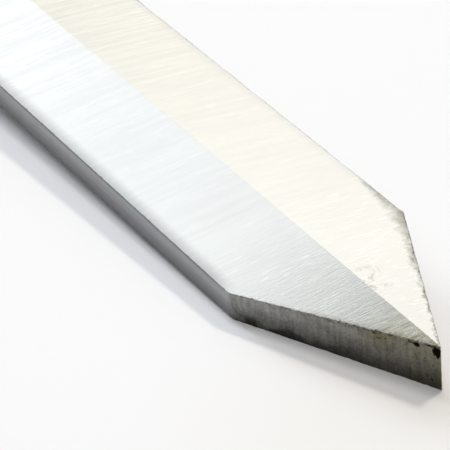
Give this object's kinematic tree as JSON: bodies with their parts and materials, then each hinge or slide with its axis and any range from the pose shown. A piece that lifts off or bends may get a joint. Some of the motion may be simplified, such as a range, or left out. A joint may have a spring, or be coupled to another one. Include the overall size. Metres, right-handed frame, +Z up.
{
  "type": "parting tool",
  "caption": "Woodturning parting tool: a diamond-section steel blade ground to a vertical cutting edge, its tang bedded in a ferruled turned handle, lying at rest.",
  "frame": {"origin": "on the bench plane z = 0, under the middle of the tool's box", "axes": "+X along the tool towards the cutting edge, +Y across it, +Z up; the tool lies at rest on its point, the blade's -Y corner and the handle's belly"},
  "size_m": [0.432, 0.0304, 0.0355],
  "materials": {
    "blade": "ground across the facets and along the bevels, plain, no coating",
    "tang_bed": "set resin, amber brown",
    "ferrule": "turned bright, slightly tarnished",
    "handle": "turned ash, clear lacquer"
  },
  "bodies": {
    "root": {"blade": "blade", "tang_bed": "tang_bed", "ferrule": "ferrule", "handle": "handle"}
  },
  "joints": []
}
